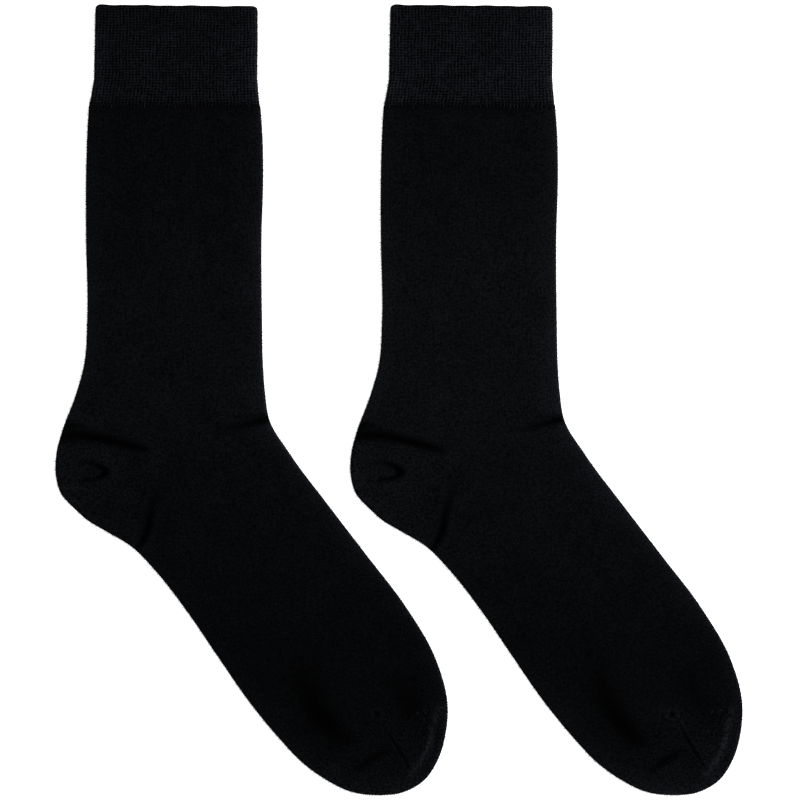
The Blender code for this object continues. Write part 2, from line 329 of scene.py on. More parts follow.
def crease_relief(x, y, routes):
    """Height of the creases at each point, and how deep in one the point lies, from 0 to 1.

    With t the distance to the route over its width, height = depth * (LIP * bell(t - LIP_PLACE) - bell(t)),
    where bell(t) = exp(-t * t).
    """
    relief, dip = np.zeros(x.shape), np.zeros(x.shape)
    for route in routes:
        line = read_route(route)
        near = ((x > line[:, 0].min() - ROUTE_REACH) & (x < line[:, 0].max() + ROUTE_REACH)
                & (y > line[:, 1].min() - ROUTE_REACH) & (y < line[:, 1].max() + ROUTE_REACH))
        if not near.any():
            continue
        away = np.hypot(x[near][:, None] - line[:, 0], y[near][:, None] - line[:, 1])
        nearest = away.argmin(axis=1)
        width, depth = line[nearest, 2], line[nearest, 3]
        t = away.min(axis=1) / width
        bell = np.exp(-t * t)
        relief[near] += depth * (LIP * np.exp(-(t - LIP_PLACE) ** 2) - bell)
        dip[near] += depth * np.exp(-(t / DIP_SPREAD) ** 2)
    return relief, dip


print("creases:", len(TOP_CREASES), "on top,", len(UNDER_CREASES), "underneath")

# %% [markdown]
# ## How the cloth lies
#
# Cloth that lies on a table is never quite flat. It waves by a tenth of a millimetre, stands a little
# higher along its folds, and is drawn down at the two corner stitches of the heel and toe. One function adds
# all of this by place, so that two pieces that meet get the same height at their seam.

# %% Heights of the laid cloth
LAID_HEIGHT = 3.0              # both panels of the tube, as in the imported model
CLOTH_WALL = 1.0
TURNED_WALL = 1.1
HEEL_PUFF = 0.8
TOE_PUFF = 0.5
FOLD_RISE = 0.35               # the fold stands this much higher than the panel
FOLD_REACH = 4.0
SWELL = 0.24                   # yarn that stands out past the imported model's fold
DEEPEST = 1.6                  # of the creases, so that the upper panel stays above its inner face
INNER_GAP = 0.3                # what is left of the gap between the tube's two inner faces
Wave = namedtuple("Wave", "along_x along_y height phase")  # its lengths along x and y, in mm
WAVES = (
    Wave(61.0, 83.0, 0.07, 0.4),
    Wave(-37.0, 52.0, 0.05, 2.1),
    Wave(24.0, -33.0, 0.04, 4.0),
    Wave(17.0, 21.0, 0.025, 1.2),
)
Stitch = namedtuple("Stitch", "x y hole hole_width ring ring_place")
CORNER_STITCHES = (                                         # a hole, and a ring round it that stands up
    Stitch(0.9, 1.2, 0.35, 1.2, 0.25, 2.6),
    Stitch(117.3, -135.2, 1.2, 1.3, 0.45, 2.7),
)


def laid_heights(points, inner=False):
    """Moves the points of a laid piece up or down, and gives how deep each lies in a crease.

    The upper panel takes all of it and the lower one only the hollows, so that it still rests on the
    floor. In between, round a fold, the move fades with the height. inner is true on a tube's inner face,
    which is too coarse for a crease. There the upper panel lies nearly on the lower one, under them all.
    """
    x, y, z = points[..., 0], points[..., 1], points[..., 2]
    half = LAID_HEIGHT / 2
    upper, lower = np.clip(z / half - 1, 0, 1), np.clip(1 - z / half, 0, 1)
    waves = sum(w.height * np.sin(2 * pi * (x / w.along_x + y / w.along_y) + w.phase) for w in WAVES)
    top, dip = crease_relief(x, y, TOP_CREASES)
    for stitch in CORNER_STITCHES:
        away = np.hypot(x - stitch.x, y - stitch.y)
        pull = (stitch.hole * np.exp(-(away / stitch.hole_width) ** 2)
                - stitch.ring * np.exp(-(away - stitch.ring_place) ** 2))
        top -= pull
        # through dip the stitch's hole also gets painted shade, and its raised ring a painted highlight
        dip += pull
    under, under_dip = crease_relief(x, y, UNDER_CREASES)
    outer_z = z + upper * np.maximum(top + waves, -DEEPEST) + lower * np.maximum(-under, 0)
    inner_z = CLOTH_WALL + (z - CLOTH_WALL) * INNER_GAP
    moved = points.copy()
    moved[..., 2] = np.where(inner, inner_z, outer_z)
    return moved, upper * dip + lower * under_dip


print("waves of the upper panel: up to", round(sum(w.height for w in WAVES), 3), "mm")

# %% [markdown]
# ## Leg and foot
#
# The leg and the foot are flat tubes. A ring of points goes round each section: along the lower panel,
# round the back fold, along the upper panel and round the front fold. Solidify could give the wall, but it
# would double the fine upper face. Here the inner face is a second, coarser set of rings.

# %% Rings round a section
UPPER_CELLS = 48               # on the upper panel, from a fold to the side line
LOWER_CELLS = 30
FOLD_CELLS = 10
TUBE_CELLS = (UPPER_CELLS, LOWER_CELLS, FOLD_CELLS)


def panel(back_centre, side, front_centre, cells):
    """Straight runs over the side point, from the centre of the back fold to that of the front fold."""
    share = np.linspace(0, 1, cells + 1)[None, :, None]
    first = back_centre[:, None] + (side - back_centre)[:, None] * share
    last = side[:, None] + (front_centre - side)[:, None] * share
    return np.concatenate([first, last[:, 1:]], axis=1)


def fold_arc(centre, outward, radius, inset, cells):
    """Half circles from the lower panel to the upper one, without their ends.

    Outward by radius * cos(a), up by radius * sin(a), for a from -90 to 90 degrees.
    """
    angle = np.linspace(-pi / 2, pi / 2, cells + 1)[None, 1:-1, None]
    reach = radius[:, None, None] - inset
    return np.concatenate([centre[:, None] + outward[:, None] * np.cos(angle) * reach,
                           radius[:, None, None] + np.sin(angle) * reach], axis=2)


def rise(distance):
    """How much higher the upper panel stands near a fold: a bell curve of the distance to it."""
    return FOLD_RISE * np.exp(-(distance / FOLD_REACH) ** 2)


def rings(back, side, front, height, inset, cells=TUBE_CELLS):
    """Points all round flat sections, one row for each: lower panel, back fold, upper panel, front fold.

    height is the section's, and inset is how far the points lie inside its outer face. Both may differ
    from row to row, and inset from point to point too.
    """
    upper_cells, lower_cells, fold_cells = cells
    height = np.broadcast_to(height, len(back))
    counts = np.cumsum([2 * lower_cells + 1, fold_cells - 1, 2 * upper_cells + 1, fold_cells - 1])
    inset = np.broadcast_to(inset, (len(back), counts[-1]))[..., None]
    low_in, back_in, high_in, front_in = np.split(inset, counts[:-1], axis=1)
    radius = (height + FOLD_RISE) / 2
    back_out, front_out = unit(back - side), unit(front - side)
    back_centre = back + back_out * (SWELL - radius[:, None])
    front_centre = front + front_out * (SWELL - radius[:, None])
    low = panel(back_centre, side, front_centre, lower_cells)[:, ::-1]
    high = panel(back_centre, side, front_centre, upper_cells)
    lift = sum(rise(np.linalg.norm(high - centre[:, None], axis=2, keepdims=True))
               for centre in (back_centre, front_centre))
    return np.concatenate([
        np.concatenate([low, low_in], axis=2),
        fold_arc(back_centre, back_out, radius, back_in, fold_cells),
        np.concatenate([high, height[:, None, None] + lift - high_in], axis=2),
        fold_arc(front_centre, front_out, radius, front_in[:, ::-1], fold_cells)[:, ::-1],
    ], axis=1)


def knit_uv(points, around):
    """u is the distance round the sock on one chosen ring, and v the distance along each column, in mm."""
    closed = wrap(points, True, True)
    ring = wrap(around[None], False, True)[0]
    u = np.concatenate([[0], np.cumsum(np.linalg.norm(np.diff(ring, axis=0), axis=1))])
    v = np.concatenate([np.zeros((1, closed.shape[1])),
                        np.cumsum(np.linalg.norm(np.diff(closed, axis=0), axis=2), axis=0)])
    return np.stack([np.broadcast_to(u, v.shape), v], axis=2)


# %% The two tubes
TUBE_ROWS = 190                # down the outer face
INNER_ROWS = 14                # down the inner face
WELT_RISE = 0.45               # the leg's first row rises this much to meet the thicker cuff
WELT_REACH = 4.0


def tube(sections, above, below, first_rise=0.0):
    """A tube of cloth through its sections, its outer rows first and its inner rows after them, reversed.

    above and below are the neighbours of its two folds. first_rise lifts its first rows, as a bell curve.
    """
    def face(count, inset):
        places = curve_places(sections, count)
        back = smooth(points_of(sections, "back"), places, above[0], below[0])
        side = smooth(points_of(sections, "side"), places)
        front = smooth(points_of(sections, "front"), places, above[1], below[1])
        away = np.linalg.norm(side - side[0], axis=1)
        return rings(back, side, front, LAID_HEIGHT + first_rise * np.exp(-(away / WELT_REACH) ** 2), inset)
    return np.concatenate([face(TUBE_ROWS, 0.0), face(INNER_ROWS, CLOTH_WALL)[::-1]])


leg_flat = tube(LEG_SECTIONS, (None, None), (HEEL_FOLD[1], foot_front[1]), WELT_RISE)
foot_flat = tube(FOOT_SECTIONS, (HEEL_FOLD[-2], leg_front[-2]), (TOE_FOLD[1], TOE_FOLD[-2]))
print("leg grid", leg_flat.shape[:2], "foot grid", foot_flat.shape[:2])

# %% [markdown]
# ## Heel and toe
#
# A heel or toe pocket is knitted back and forth on half of the stitches, so its courses meet in a mitre, the
# gore line. Laid flat, the pocket is a fan: rays run from the corner stitch to the fold and back underneath.
# The pattern follows the mitre, with courses parallel to the nearer of the two seams.

# %% The two pockets
HEEL_RAYS = 121                # from one end of the fold to the other
HEEL_CELLS = 56                # from the corner to the fold
TOE_RAYS = 151
TOE_CELLS = 44
PUFF_CURVE = 1.5               # above 1, so that the puff grows mostly near the fold


def pocket(corner, outline, puff, ray_cells):
    """Rays from the corner to the fold, first on the lower panel and then back on the upper one.

    The fold stands puff higher in the middle of the pocket than at its ends, as a sine. u and v are the
    distances along and square to the nearer seam.
    """
    place = np.linspace(0, 1, len(outline))
    outward = unit(outline - corner)
    height = LAID_HEIGHT + puff * np.sin(pi * place)
    radius = (height + FOLD_RISE) / 2
    centre = outline + outward * (SWELL - radius[:, None])
    share = np.linspace(0, 1, ray_cells + 1)[None, :, None]
    flat = corner + (centre - corner)[:, None] * share
    lift = rise(np.linalg.norm(flat - centre[:, None], axis=2, keepdims=True))
    grown = (height - LAID_HEIGHT)[:, None, None] * share ** PUFF_CURVE
    high = np.concatenate([flat, LAID_HEIGHT + grown + lift], axis=2)
    low = np.concatenate([flat, np.zeros_like(lift)], axis=2)
    grid = np.concatenate([low, fold_arc(centre, outward, radius, 0.0, FOLD_CELLS), high[:, ::-1]], axis=1)
    steps = np.cumsum(np.linalg.norm(np.diff(grid, axis=1), axis=2), axis=1)
    run = np.concatenate([np.zeros((len(grid), 1)), steps], axis=1)
    run = np.minimum(run, run[:, -1:] - run)
    angle = np.arccos(np.clip(np.sum(outward[:-1] * outward[1:], axis=1), -1, 1)).cumsum()
    angle = np.concatenate([[0], angle])
    angle = np.minimum(angle, angle[-1] - angle)[:, None]
    return grid, np.stack([run * np.cos(angle), run * np.sin(angle)], axis=2)


heel_flat, heel_uv = pocket(TURN, heel_outline(HEEL_RAYS), HEEL_PUFF, HEEL_CELLS)
toe_flat, toe_uv = pocket(TOE_CORNER, toe_outline(TOE_RAYS), TOE_PUFF, TOE_CELLS)
print("heel grid", heel_flat.shape[:2], "toe grid", toe_flat.shape[:2])

# %% [markdown]
# ## The rib cuff
#
# The cuff is knitted double and turned over, so its mouth is a soft round edge and its wall is twice as
# thick. Its elastic rib shows as a net: raised ribs, a slighter bar at every course, and small dark holes
# between them. They are large enough to be real shape, so the outer face is a fine grid whose points are let
# in by the pattern. Bump alone would leave a smooth silhouette.

# %% The net of ribs and courses
RIB = 1.78                     # from one rib to the next
COURSE = 1.47
RIB_DEPTH = 0.36
Wander = namedtuple("Wander", "by length drift start")      # by is how far, in mm
RIB_WANDER = (Wander(0.22, 23.0, 9.0, 0.0), Wander(0.12, 6.3, 3.0, 0.0))
BAR_WANDER = (Wander(0.20, 31.0, np.inf, 1.3), Wander(0.12, 7.1, 4.0, 0.0))
LEAD_WAVES = (Wave(13.7, 29.0, 1.0, 0.0), Wave(-41.0, 9.1, 1.0, 1.1))   # along u and v
RIB_STRENGTH = (0.6, 0.95)     # of the ribs, where the bars lead and where the ribs do
BAR_STRENGTH = (0.95, 0.55)    # of the bars, at the same places
rng = np.random.default_rng(12)
HOLE_DEPTHS = rng.uniform(0.5, 1.0, (61, 47))    # of the holes, from rib to rib and from course to course


def wander(across, along, sines):
    """Where a thread really is: across + by * sin(2 pi along / length + across / drift + start), summed."""
    return across + sum(s.by * np.sin(2 * pi * along / s.length + across / s.drift + s.start) for s in sines)


def net_pattern(u, v):
    """The cuff's net: 1 on a thread and 0 in the middle of a hole.

    ribs = cos(pi u / RIB) squared, bars = cos(pi v / COURSE) squared, and a point is in a hole only where
    both are low: 1 - hole * (1 - ribs) * (1 - bars). Each rib and each bar wanders a little, each hole has
    its own depth, and in some places the ribs are the stronger and lead, in others the bars.
    """
    u = wander(u, v, RIB_WANDER)
    v = wander(v, u, BAR_WANDER)
    one, other = (w.height * np.sin(2 * pi * (u / w.along_x + v / w.along_y) + w.phase) for w in LEAD_WAVES)
    lead = 0.5 + 0.5 * one * other
    ribs = np.interp(lead, (0, 1), RIB_STRENGTH) * np.cos(pi * u / RIB) ** 2
    bars = np.interp(lead, (0, 1), BAR_STRENGTH) * np.cos(pi * v / COURSE) ** 2
    column, row = np.floor(u / RIB).astype(int), np.floor(v / COURSE).astype(int)
    hole = HOLE_DEPTHS[column % HOLE_DEPTHS.shape[0], row % HOLE_DEPTHS.shape[1]]
    return 1 - hole * (1 - ribs) * (1 - bars)


print("net: a rib every", RIB, "mm and a course every", COURSE, "mm")

# %% The cuff's wall and its round mouth
CUFF_HEIGHT = 3.9
CUFF_WALL = 1.4
CUFF_CELLS = (142, 76, 14)     # as on a tube: the upper panel's, the lower one's and a fold's
CUFF_ROWS = 168                # down the outer face
LINING_ROWS = 12               # up the inner face
EDGE_ROWS = 9                  # over the mouth's round edge
ROUND_ROWS = 3                 # round the lower edge
MOUTH_CORNER = 2.5             # radius of the mouth's corners, seen from above
MOUTH_DROP = 1.05              # the front end of the mouth lies this much lower than the back
MOUTH_SLOPE = 0.6              # below 1, so that most of the drop is near the back
MOUTH_FADE = 4                 # high, so that the drop is gone a little way below the mouth
FOOT_ROUND = 0.6               # radius of the cuff's lower edge, where it is looped onto the leg


def mouth_sag(x, up):
    """How much lower a point lies than with a straight mouth: a drop to the front, and two short waves.

    sag = up^MOUTH_FADE * (MOUTH_DROP * across^MOUTH_SLOPE + waves). up goes from 0 at the cuff's foot to 1
    at its mouth, and across from 0 at the back to 1 at the front.
    """
    across = (x - WELT_ROWS[-1].back_x) / (WELT_ROWS[-1].front_x - WELT_ROWS[-1].back_x)
    waves = 0.12 * np.sin(x / 4.5) + 0.1 * np.sin(x / 1.9 + 1)
    return up ** MOUTH_FADE * (MOUTH_DROP * np.clip(across, 0, 1) ** MOUTH_SLOPE + waves)


def cuff_wave(x, y):
    """Slight waves of the upper panel: a broad one of 0.1 mm, and a short slanting one of 0.05 mm."""
    return 0.10 * np.sin(x / 8 + 0.7) * np.sin(y / 13) + 0.05 * np.sin(x / 3.1 + y / 5)


def cuff_surface():
    """The cuff's wall as rows of rings: up the inner face, over the mouth's edge and down the outer face."""
    levels = [row.y for row in WELT_ROWS]
    foot, mouth = levels[0], levels[-1]
    edge = CUFF_WALL / 2
    turn = np.linspace(pi, 0, EDGE_ROWS)
    low = np.linspace(0, pi / 2, ROUND_ROWS + 1)[1:]
    going_up = np.linspace(foot, mouth - edge, LINING_ROWS + 1)[:-1]
    going_down = np.linspace(mouth - edge, foot + FOOT_ROUND, CUFF_ROWS + 1)[1:]
    profile = np.concatenate([
        np.column_stack([np.full(LINING_ROWS, CUFF_WALL), going_up]),
        np.column_stack([edge * (1 - np.cos(turn)), mouth - edge + edge * np.sin(turn)]),
        np.column_stack([np.zeros(CUFF_ROWS), going_down]),
        np.column_stack([FOOT_ROUND * (1 - np.cos(low)), foot + FOOT_ROUND - FOOT_ROUND * np.sin(low)]),
    ])
    inset, y = profile.T
    corner = np.clip(y - (mouth - MOUTH_CORNER), 0, MOUTH_CORNER)
    draw_in = MOUTH_CORNER - np.sqrt(MOUTH_CORNER ** 2 - corner ** 2)
    back = np.column_stack([np.interp(y, levels, [row.back_x for row in WELT_ROWS]) + draw_in, y])
    front = np.column_stack([np.interp(y, levels, [row.front_x for row in WELT_ROWS]) - draw_in, y])
    side = (back + front) / 2
    smooth_wall = rings(back, side, front, CUFF_HEIGHT, inset[:, None], CUFF_CELLS)
    uv = knit_uv(smooth_wall, smooth_wall[len(smooth_wall) // 2])
    net = net_pattern(uv[:-1, :-1, 0], smooth_wall[..., 1])
    outer = np.clip((edge - inset[:, None]) / edge, 0, 1)
    let_in = inset[:, None] + outer * (1 - net) * RIB_DEPTH
    ribbed = rings(back, side, front, CUFF_HEIGHT, let_in, CUFF_CELLS)
    ribbed[..., 1] -= mouth_sag(ribbed[..., 0], (ribbed[..., 1] - foot) / (mouth - foot))
    upper = np.clip(ribbed[..., 2] / CUFF_HEIGHT * 2 - 1, 0, 1)
    ribbed[..., 2] += upper * cuff_wave(ribbed[..., 0], ribbed[..., 1])
    return ribbed, uv, net


cuff_grid, cuff_uv, cuff_net = cuff_surface()
print("cuff grid", cuff_grid.shape[:2], "ribs round it", round(float(cuff_uv[0, -1, 0]) / RIB))

# %% [markdown]
# ## Stitches that stand out
#
# Two rows of stitches are plain to see: the looping that joins the cuff to the leg, one short strand to
# every rib, and the closing stitches of the toe, near the instep. Each strand is a tapered bead of yarn. A
# few dozen faces are enough for one, and all the strands of a row are one mesh.

# %% Strands of yarn
STRAND_BOW = 0.25              # how far a strand's middle bows up, as a share of its radius
STRAND_TIP = 0.04              # what is left of the radius at a strand's ends


def strands(name, middles, runs, radius, tone, rings_each=7, sides=6):
    """Short strands of yarn as one mesh: tapered tubes that bow up slightly.

    Along a strand t goes from 0 to 1 and its radius is radius * sqrt(sin(pi t)), so that both ends close
    nearly to a point. middles are the strands' middles and runs the vectors from end to end.
    """
    t = np.linspace(0, 1, rings_each)[None, :, None, None]
    angle = np.linspace(0, 2 * pi, sides, endpoint=False)[None, None, :, None]
    along = unit(runs)[:, None, None]
    sideways = unit(np.cross(runs, (0.0, 0.0, 1.0)))[:, None, None]
    upright = np.cross(sideways, along)
    thick = radius[:, None, None, None] * np.sqrt(np.maximum(np.sin(pi * t), STRAND_TIP ** 2))
    bow = STRAND_BOW * radius[:, None, None, None] * np.sin(pi * t) * upright
    points = (middles[:, None, None] + runs[:, None, None] * (t - 0.5) + bow
              + thick * (np.cos(angle) * sideways + np.sin(angle) * upright))
    count = len(middles)
    numbers = np.arange(count * rings_each * sides).reshape(count, rings_each, sides)
    beside = np.roll(numbers, -1, axis=2)
    quads = np.stack([numbers[:, :-1], beside[:, :-1], beside[:, 1:], numbers[:, 1:]], axis=-1)
    caps = np.concatenate([numbers[:, 0, ::-1], numbers[:, -1]])
    mesh = bpy.data.meshes.new(name)
    mesh.from_pydata((points.reshape(-1, 3) * MM).tolist(), [],
                     quads.reshape(-1, 4).tolist() + caps.tolist())
    shade = mesh.attributes.new("tone", "FLOAT", "POINT")
    shade.data.foreach_set("value", np.repeat(tone, rings_each * sides).astype("f"))
    mesh.shade_smooth()
    return mesh


# %% Looping and closing stitches
LOOP_HEIGHTS = (0.62, 0.42)    # of a strand's middle: above the leg's upper panel, and above the floor
LOOP_DROP = 0.3                # how far it is below the leg's first row
LOOP_SCATTER = (0.15, 0.25)    # across the sock, and along it
LOOP_LEAN = 0.35
LOOP_LENGTH = (1.9, 3.0)
LOOP_RISE = 0.30               # the upper strands climb this much, from the leg to the cuff
LOOP_RADIUS = (0.30, 0.46)
LOOP_TONE = (0.2, 1.3)         # of the darkest, and how much lighter the lightest is; few are light
ClosingPoint = namedtuple("ClosingPoint", "x y z")
TOE_CLOSING = (                                             # where clusters of stitches show on the seam
    ClosingPoint(152.6, -131.4, 3.3),
    ClosingPoint(148.6, -132.2, 3.35),
    ClosingPoint(143.2, -133.3, 3.05),
    ClosingPoint(138.8, -133.9, 3.0),
)
CLUSTER = 4
CLOSING_SCATTER = (0.75, 0.6, 0.05)
CLOSING_LEAN = (0.2, 0.6)      # mean and spread, across the sock
CLOSING_TILT = 0.1             # spread, up and down
CLOSING_LENGTH = (0.6, 1.4)
CLOSING_RADIUS = (0.16, 0.28)
CLOSING_TONE = (0.6, 2.6)


def looping_strands(name, place):
    """The strands that loop the cuff onto the leg, on both panels, each a little out of line."""
    each = int((WELT_ROWS[0].front_x - WELT_ROWS[0].back_x - CUFF_HEIGHT) / RIB)
    x = WELT_ROWS[0].back_x + CUFF_HEIGHT / 2 + (np.arange(each) + 0.5) * RIB
    count = 2 * each
    x = np.concatenate([x, x]) + rng.normal(0, LOOP_SCATTER[0], count)
    y = LEG_SECTIONS[0].back_y - LOOP_DROP + rng.normal(0, LOOP_SCATTER[1], count)
    top = np.arange(count) < each
    z = np.where(top, LAID_HEIGHT + LOOP_HEIGHTS[0], LOOP_HEIGHTS[1])
    lean = rng.normal(0, LOOP_LEAN, count)
    runs = np.column_stack([lean, rng.uniform(*LOOP_LENGTH, count), np.where(top, LOOP_RISE, 0.0)])
    radius = rng.uniform(*LOOP_RADIUS, count)
    tone = LOOP_TONE[0] + LOOP_TONE[1] * rng.uniform(0, 1, count) ** 4
    return strands(name, np.column_stack([x, y, z]) + place, runs, radius, tone)


def closing_strands(name, place):
    """The toe's closing stitches: small clusters of strands that stand out here and there on the seam."""
    middles = np.repeat(np.array(TOE_CLOSING), CLUSTER, axis=0)
    count = len(middles)
    middles += rng.normal(0, 1, (count, 3)) * CLOSING_SCATTER
    lean = rng.normal(*CLOSING_LEAN, count)
    runs = np.column_stack([lean, rng.uniform(*CLOSING_LENGTH, count), rng.normal(0, CLOSING_TILT, count)])
    radius = rng.uniform(*CLOSING_RADIUS, count)
    return strands(name, middles + place, runs, radius, rng.uniform(*CLOSING_TONE, count))


print("closing stitches of a toe:", len(TOE_CLOSING) * CLUSTER)

# %% [markdown]
# ## Nap along the folds
#
# Spun cotton isn't smooth, because the ends of its short fibres stand out from the yarn. On a panel they
# only dull the colour, but along the folds they show against the floor and make the sock's edge soft. A hair
# system could grow them, but then they wouldn't be a mesh. So small tufts of eight faces are set close
# together along the folds, from one corner of the mouth round to the other, each leaning its own way.

# %% Tufts of fibre ends
FOLD_SPOTS = (40, 60)          # points read on the heel's fold and on the toe's
LINE_SPOTS = 4000              # points read on the whole outline
NAP_SPACING = 0.36             # from one tuft to the next
NAP_LENGTH = (0.9, 1.7)
NAP_RADIUS = (0.08, 0.13)
NAP_ROOT = 0.3                 # share of a tuft that lies before its root, in the cloth
NAP_TURN = (-0.4, 1.2)         # how far round the fold a tuft stands, from its outermost line upwards
NAP_LEAN = 0.6                 # how far a tuft leans along the fold, as a share of how far it stands out
# tufts are drawn lighter than the cloth, as painted sheen on the fibre ends, each by a random amount
NAP_TONE = (1.2, 3.6)
NAP_END = 4.0                  # no nap this near to the mouth's corners
AHEAD = 0.5                    # the fold's direction is read from a point to one this far along it


def fold_line():
    """The outermost line round one sock, from the mouth's back corner down, round, and up to its front."""
    welt_back = [(row.back_x, row.y) for row in reversed(WELT_ROWS)]
    welt_front = [(row.front_x, row.y) for row in WELT_ROWS]
    heel, toe = heel_outline(FOLD_SPOTS[0]), toe_outline(FOLD_SPOTS[1])
    corners = np.concatenate([welt_back, leg_back[1:], heel[1:], foot_back[1:], toe[1:], foot_front[-2::-1],
                              leg_front[-2:0:-1], welt_front])
    return smooth(corners, curve_places(corners, LINE_SPOTS))


def nap_strands(name, place):
    """Tufts of fibre ends that stand out from the folds all round, each leaning its own way.

    A root lies at a turn a round the fold's half circle: inwards from the outermost line by
    half * (1 - cos(a)), and up by half * sin(a), where half is half of the sock's height there.
    """
    line = fold_line()
    along = np.concatenate([[0], np.cumsum(np.linalg.norm(np.diff(line, axis=0), axis=1))])
    count = int(along[-1] / NAP_SPACING)
    at = np.linspace(NAP_END, along[-1] - NAP_END, count)
    spots = np.column_stack([np.interp(at, along, line[:, i]) for i in (0, 1)])
    ahead = unit(np.column_stack([np.interp(at + AHEAD, along, line[:, i]) for i in (0, 1)]) - spots)
    outward = np.column_stack([ahead[:, 1], -ahead[:, 0]])
    turn = rng.uniform(*NAP_TURN, (count, 1))
    half = (np.where(spots[:, 1:] > WELT_ROWS[0].y, CUFF_HEIGHT, LAID_HEIGHT) + FOLD_RISE) / 2
    roots = np.hstack([spots + outward * (SWELL - half * (1 - np.cos(turn))), half + half * np.sin(turn)])
    lean = rng.normal(0, NAP_LEAN, (count, 1))
    runs = unit(np.hstack([outward * np.cos(turn) + ahead * lean, np.sin(turn)]))
    runs = runs * rng.uniform(*NAP_LENGTH, (count, 1))
    radius = rng.uniform(*NAP_RADIUS, count)
    tone = rng.uniform(*NAP_TONE, count)
    return strands(name, roots + runs * (0.5 - NAP_ROOT) + place, runs, radius, tone, rings_each=3, sides=3)


print("fold round one sock, mm:", np.linalg.norm(np.diff(fold_line(), axis=0), axis=1).sum().round(1))

# %% [markdown]
# ## Colours and nodes
#
# A colour is written as the sRGB hex value that a designer would pick, and one function turns it to the
# linear light that the shader works in. One more function adds a node, sets its values and links it. All
# the finishes here are dyed yarn without gloss, so they end in the same few nodes.

# %% Helpers for materials
def linear(hex_colour):
    """Linear RGBA of an sRGB hex colour: ((c + 0.055) / 1.055) ^ 2.4, and c / 12.92 near black."""
    srgb = np.array([int(hex_colour[i:i + 2], 16) / 255 for i in (1, 3, 5)])
    light = np.where(srgb <= 0.04045, srgb / 12.92, ((srgb + 0.055) / 1.055) ** 2.4)
    return (*light.tolist(), 1.0)


def add_node(tree, kind, settings=None, values=None, links=None):
    """Adds a node. settings are its properties, values its inputs' and links what feeds its inputs."""
    node = tree.nodes.new(kind)
    for key, value in (settings or {}).items():
        setattr(node, key, value)
    for key, value in (values or {}).items():
        node.inputs[key].default_value = value
    for key, socket in (links or {}).items():
        tree.links.new(socket, node.inputs[key])
    return node


def calculate(tree, operation, *terms):
    """A Math node on numbers and sockets, and its result."""
    numbers = {i: t for i, t in enumerate(terms) if isinstance(t, (int, float))}
    sockets = {i: t for i, t in enumerate(terms) if i not in numbers}
    return add_node(tree, "ShaderNodeMath", {"operation": operation}, numbers, sockets).outputs[0]


def new_material(name):
    """A material without nodes, and the tree that they will go into."""
    material = bpy.data.materials.new(name)
    material.use_nodes = True
    material.node_tree.nodes.clear()
    return material, material.node_tree


def speckle(tree, size, roughness):
    """A noise in the piece's own space, with spots about size mm apart, from 0 to 1."""
    spot = add_node(tree, "ShaderNodeTexCoord")
    noise = add_node(tree, "ShaderNodeTexNoise",
                     values={"Scale": 1 / (size * MM), "Detail": 3.0, "Roughness": roughness},
                     links={"Vector": spot.outputs["Object"]})
    return noise.outputs["Fac"]


def dyed_yarn(tree, colour, lightness, relief, shader_values):
    """Ends a material: the dye's colour times the lightness, on a relief.

    relief is the socket of its height, its strength, and its depth in mm.
    """
    height, strength, depth = relief
    dyed = add_node(tree, "ShaderNodeVectorMath", {"operation": "SCALE"},
                    {0: linear(colour)[:3]}, {"Scale": lightness})
    bump = add_node(tree, "ShaderNodeBump", values={"Strength": strength, "Distance": depth * MM},
                    links={"Height": height})
    shader = add_node(tree, "ShaderNodeBsdfPrincipled", values=shader_values,
                      links={"Base Color": dyed.outputs[0], "Normal": bump.outputs[0]})
    add_node(tree, "ShaderNodeOutputMaterial", links={"Surface": shader.outputs[0]})


# %% [markdown]
# ## Plain and plated knit
#
# Combed cotton with a little nylon, knitted plain on a fine dress-sock machine and dyed black. Plain knit
# shows a column of Vs at every wale. The yarn scatters what little light it doesn't absorb, so there is no
# gloss, only a faint bloom of fibre ends where the cloth turns away. Wales of a real dress sock are about
# 1.05 mm apart and its courses 0.75 mm. Both are drawn a third coarser, which is as fine as the view shows.
# The heel and toe have a second yarn plated behind the first, which makes them more uneven. The cuff's ribs
# are real shape, so its own small stitches, two to a rib, are only drawn faintly on them.

# %% The knit materials
WALE = 1.4                     # drawn; really about 1.05
COURSE_PLAIN = 1.0             # drawn; really about 0.75
FUZZ_SIZE = 1.111              # clumps of fibre ends; really finer, drawn to show
BLOTCH_SIZE = 13.33            # slow changes of the dye


def stitch_pattern(tree, wale, course):
    """The Vs of plain knit on the piece's own map: light on the loops and dark between them.

    across goes from 0 at a wale's edge to 0.5 at its middle. loops = |sin(pi (1.1 across + v / course))|,
    leg = sin(2 pi across), and the pattern is (0.65 loops + 0.35) * (0.7 leg + 0.3).
    """
    place = add_node(tree, "ShaderNodeUVMap", {"uv_map": "knit"})
    split = add_node(tree, "ShaderNodeSeparateXYZ", links={0: place.outputs[0]})
    across = calculate(tree, "PINGPONG", calculate(tree, "DIVIDE", split.outputs[0], wale), 0.5)
    slant = calculate(tree, "MULTIPLY_ADD", across, 1.1, calculate(tree, "DIVIDE", split.outputs[1], course))
    loops = calculate(tree, "ABSOLUTE", calculate(tree, "SINE", calculate(tree, "MULTIPLY", slant, pi)))
    leg = calculate(tree, "SINE", calculate(tree, "MULTIPLY", across, 2 * pi))
    return calculate(tree, "MULTIPLY", calculate(tree, "MULTIPLY_ADD", loops, 0.65, 0.35),
                     calculate(tree, "MULTIPLY_ADD", leg, 0.7, 0.3))


